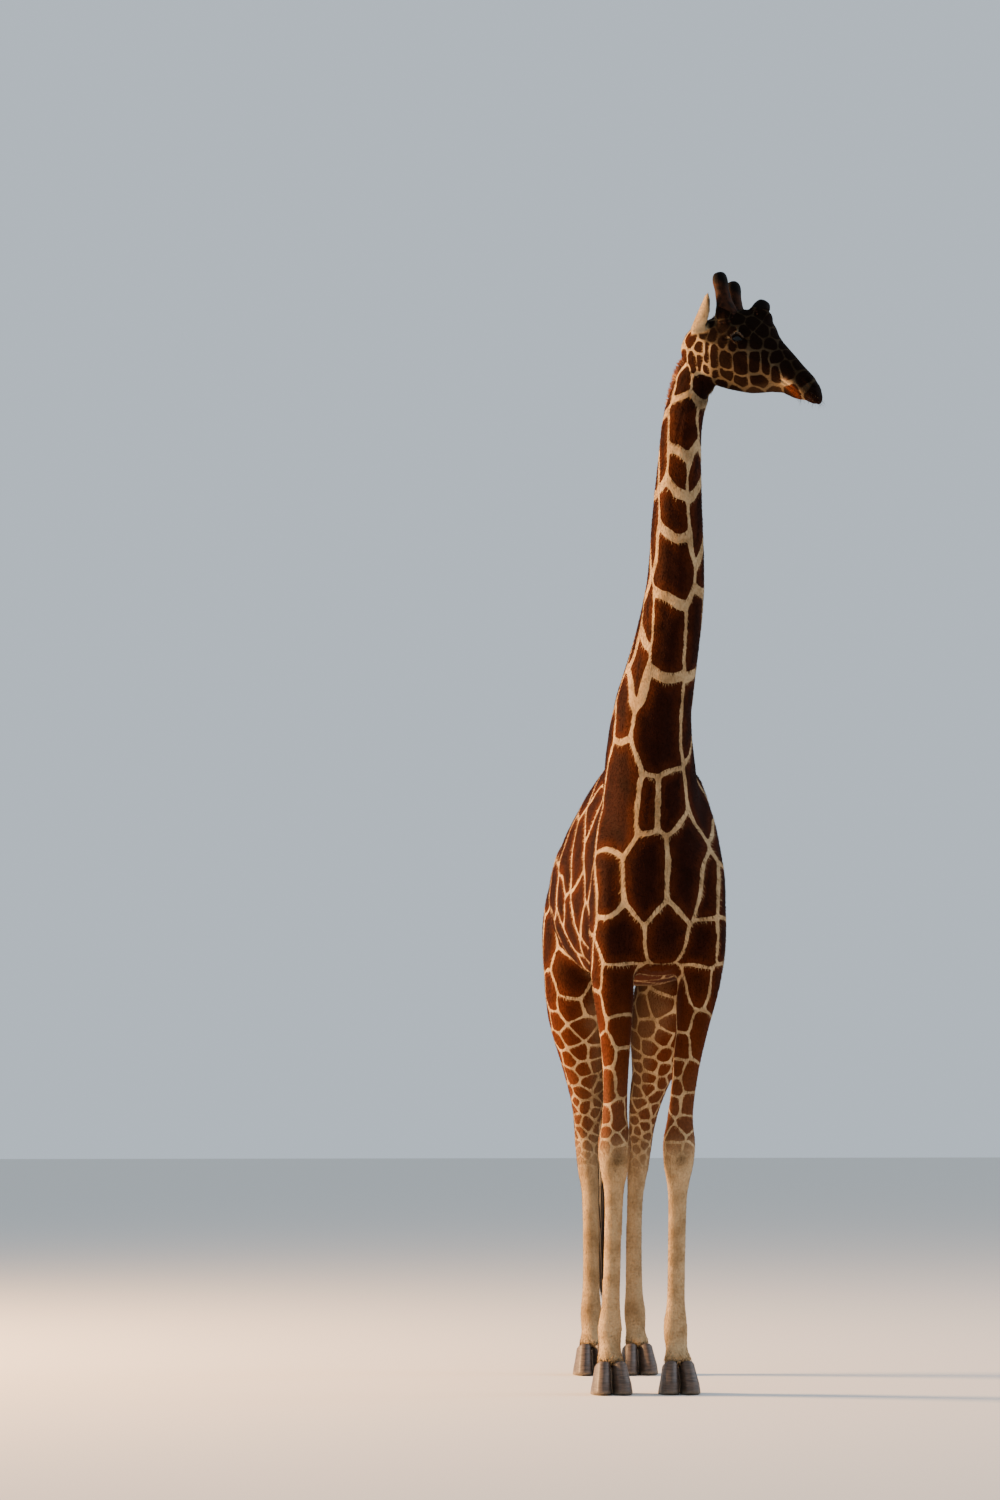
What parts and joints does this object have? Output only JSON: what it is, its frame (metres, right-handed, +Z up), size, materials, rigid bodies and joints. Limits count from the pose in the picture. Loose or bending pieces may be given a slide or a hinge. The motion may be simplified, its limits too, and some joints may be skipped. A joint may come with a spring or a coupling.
{
  "type": "giraffe",
  "caption": "Life-size standing reticulated giraffe, a still model: long upright neck, head turned to its left, blunt horns, sloping back and tufted tail.",
  "frame": {"origin": "on the floor under the middle of the whole animal's box", "axes": "+Z up; the body faces -Y; +X is the animal's left"},
  "size_m": [1.0606, 2.569, 5.0602],
  "materials": {
    "coat": "short hair lying flat, chestnut patches in a net of cream",
    "mane": "stiff upright hair, reddish brown",
    "tail_hair": "coarse long hair, black, faintly glossy",
    "horn": "skin-covered horns with short dark hair, blackish at the tips",
    "hoof": "matt horn, grey brown, finely ringed",
    "eye": "wet gloss, very dark brown"
  },
  "bodies": {
    "root": {"trunk": "coat", "neck": "coat", "head": "coat", "mane": "mane", "tail": "coat", "tail_tuft": "tail_hair", "ear_left": "coat", "ear_right": "coat", "eye_left": "eye", "eye_right": "eye", "horn_left": "horn", "horn_right": "horn", "horn_nasal": "horn", "fore_leg_left": "coat", "fore_leg_right": "coat", "hind_leg_left": "coat", "hind_leg_right": "coat", "hoof_fore_left_outer": "hoof", "hoof_fore_left_inner": "hoof", "hoof_fore_right_outer": "hoof", "hoof_fore_right_inner": "hoof", "hoof_hind_left_outer": "hoof", "hoof_hind_left_inner": "hoof", "hoof_hind_right_outer": "hoof", "hoof_hind_right_inner": "hoof"}
  },
  "joints": []
}
